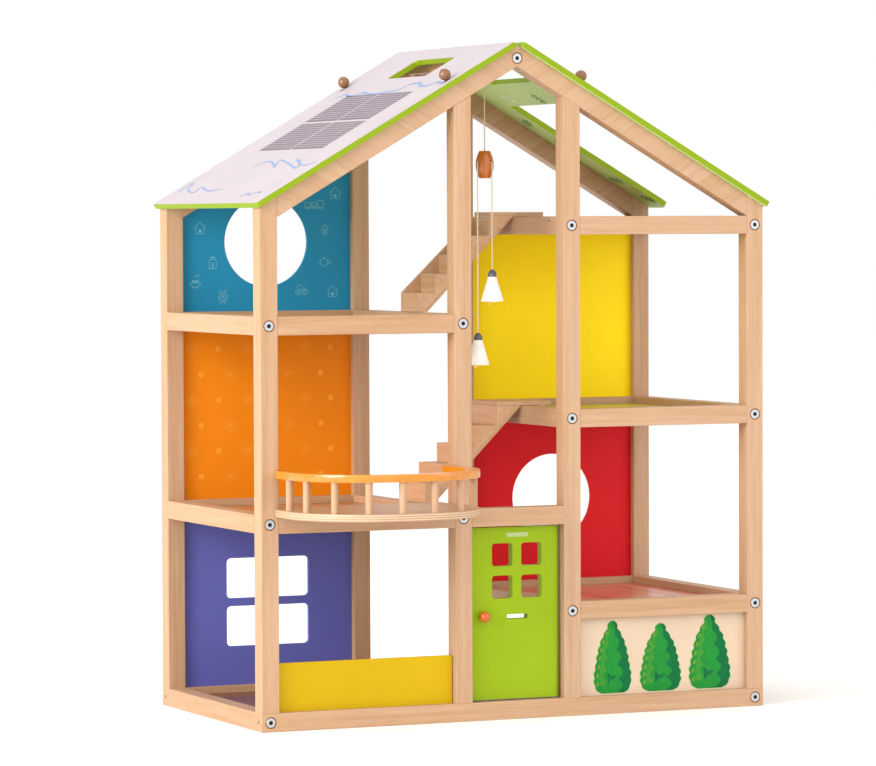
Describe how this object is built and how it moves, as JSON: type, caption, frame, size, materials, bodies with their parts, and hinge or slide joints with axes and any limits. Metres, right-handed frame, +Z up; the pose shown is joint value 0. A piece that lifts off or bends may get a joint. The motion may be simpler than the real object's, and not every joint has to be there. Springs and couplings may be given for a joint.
{
  "type": "dollhouse",
  "caption": "Open wooden dollhouse with a post and rail frame, pitched roof panels, coloured walls, stairs, a curved balcony, a hinged door and hanging lamps",
  "frame": {"origin": "on the floor, at the middle of the box that holds the whole house, its balcony included", "axes": "+Z up, +X to the right of someone who faces the door, +Y from the front to the back"},
  "size_m": [0.6118, 0.432, 0.733],
  "materials": {
    "beech": "sanded, clear matt lacquer",
    "floor_brown": "brown stain",
    "floor_plank": "printed planks",
    "floor_wood": "clear matt lacquer",
    "floor_pink": "printed planks",
    "floor_green": "printed tiles",
    "purple_paint": "satin paint on plywood",
    "orange_paint": "satin paint on plywood",
    "blue_paint": "satin paint on plywood",
    "red_paint": "satin paint on plywood",
    "yellow_paint": "satin paint on plywood",
    "tree_print": "printed and painted plywood",
    "roof_cream": "satin paint on plywood",
    "roof_leaf": "satin paint on plywood",
    "green_paint": "satin paint",
    "orange_lacquer": "gloss lacquer",
    "barrel_varnish": "gloss varnish",
    "navy_lacquer": "gloss lacquer",
    "white_lacquer": "satin lacquer",
    "yellow_lacquer": "gloss lacquer",
    "red_brown_stain": "stained and varnished",
    "steel": "zinc plated",
    "cord": "braided cotton cord",
    "elastic": "covered elastic cord"
  },
  "bodies": {
    "house": {"front_bottom_rail": "beech", "back_bottom_rail": "beech", "front_posts": "beech", "back_posts": "beech", "front_rails": "beech", "back_rails": "beech", "rafters": "beech", "door_head_rail": "beech", "ground_side_rails": "beech", "left_side_rails": "beech", "right_side_rails": "beech", "ridge_beam": "beech", "floor_ground": "floor_brown", "floor_left_1": "floor_plank", "floor_left_2": "floor_wood", "floor_right_1": "floor_pink", "floor_right_2": "floor_green", "floor_right_3": "floor_wood", "wall_purple": "purple_paint", "wall_orange": "orange_paint", "wall_blue": "blue_paint", "wall_red": "red_paint", "wall_yellow": "yellow_paint", "tree_panel": "tree_print", "garden_fence": "yellow_paint", "roof_left": "roof_cream", "roof_right": "roof_leaf", "roof_elastics": "elastic", "screw_eye": "steel", "bolts": "steel", "barrel_nuts": "steel", "dowels": "beech"},
    "door": {"door": "green_paint", "door_pins": "steel", "door_knob": "orange_lacquer"},
    "balcony": {"balcony_deck": "beech", "balcony_handrail": "orange_lacquer", "balcony_balusters": "beech", "balcony_pegs": "beech"},
    "lower_stair": {"lower_stair_steps": "beech", "lower_stair_soffit": "beech", "lower_stair_hook_board": "beech"},
    "upper_stair": {"upper_stair_steps": "beech", "upper_stair_soffit": "beech", "upper_stair_hook_board": "beech", "upper_stair_side_board": "beech"},
    "pendant": {"pendant_cord": "cord", "pendant_barrel": "barrel_varnish"},
    "high_lamp": {"high_lamp_cord": "cord", "high_lamp_cap": "navy_lacquer", "high_lamp_shade": "white_lacquer", "high_lamp_bulb": "yellow_lacquer"},
    "low_lamp": {"low_lamp_cord": "cord", "low_lamp_cap": "navy_lacquer", "low_lamp_shade": "white_lacquer", "low_lamp_bulb": "yellow_lacquer"},
    "bead_front_left": {"roof_bead_front_left": "red_brown_stain"},
    "bead_back_left": {"roof_bead_back_left": "red_brown_stain"},
    "bead_front_right": {"roof_bead_front_right": "red_brown_stain"},
    "bead_back_right": {"roof_bead_back_right": "red_brown_stain"}
  },
  "joints": [
    {"name": "door_hinge", "type": "hinge", "parent": "house", "child": "door", "pos_m": [0.048, -0.077, 0.115], "axis": [0, 0, 1], "range_deg": [-90, 95]},
    {"name": "balcony_lift", "type": "slide", "parent": "house", "child": "balcony", "axis": [0, 0, 1], "range_m": [0, 0.03]},
    {"name": "lower_stair_lift", "type": "slide", "parent": "house", "child": "lower_stair", "axis": [0, 0, 1], "range_m": [0, 0.03]},
    {"name": "upper_stair_lift", "type": "slide", "parent": "house", "child": "upper_stair", "axis": [0, 0, 1], "range_m": [0, 0.03]},
    {"name": "pendant_swing", "type": "hinge", "parent": "house", "child": "pendant", "pos_m": [0, -0.005, 0.69786], "axis": [0, 1, 0], "range_deg": [-5, 5]},
    {"name": "high_lamp_slide", "type": "slide", "parent": "pendant", "child": "high_lamp", "axis": [0, 0, 1], "range_m": [-0.012, 0.05], "deforming": ["high_lamp_cord"]},
    {"name": "low_lamp_slide", "type": "slide", "parent": "pendant", "child": "low_lamp", "axis": [0, 0, 1], "range_m": [-0.05, 0.012], "deforming": ["low_lamp_cord"]},
    {"name": "bead_front_left_pull", "type": "slide", "parent": "house", "child": "bead_front_left", "axis": [-0.5, 0, 0.866], "range_m": [0, 0.006], "stiffness_N_per_m": 300},
    {"name": "bead_back_left_pull", "type": "slide", "parent": "house", "child": "bead_back_left", "axis": [-0.5, 0, 0.866], "range_m": [0, 0.006], "stiffness_N_per_m": 300},
    {"name": "bead_front_right_pull", "type": "slide", "parent": "house", "child": "bead_front_right", "axis": [0.5, 0, 0.866], "range_m": [0, 0.006], "stiffness_N_per_m": 300},
    {"name": "bead_back_right_pull", "type": "slide", "parent": "house", "child": "bead_back_right", "axis": [0.5, 0, 0.866], "range_m": [0, 0.006], "stiffness_N_per_m": 300}
  ],
  "couplings": [
    {"joint": "low_lamp_slide", "follows": "high_lamp_slide", "ratio": -1}
  ]
}
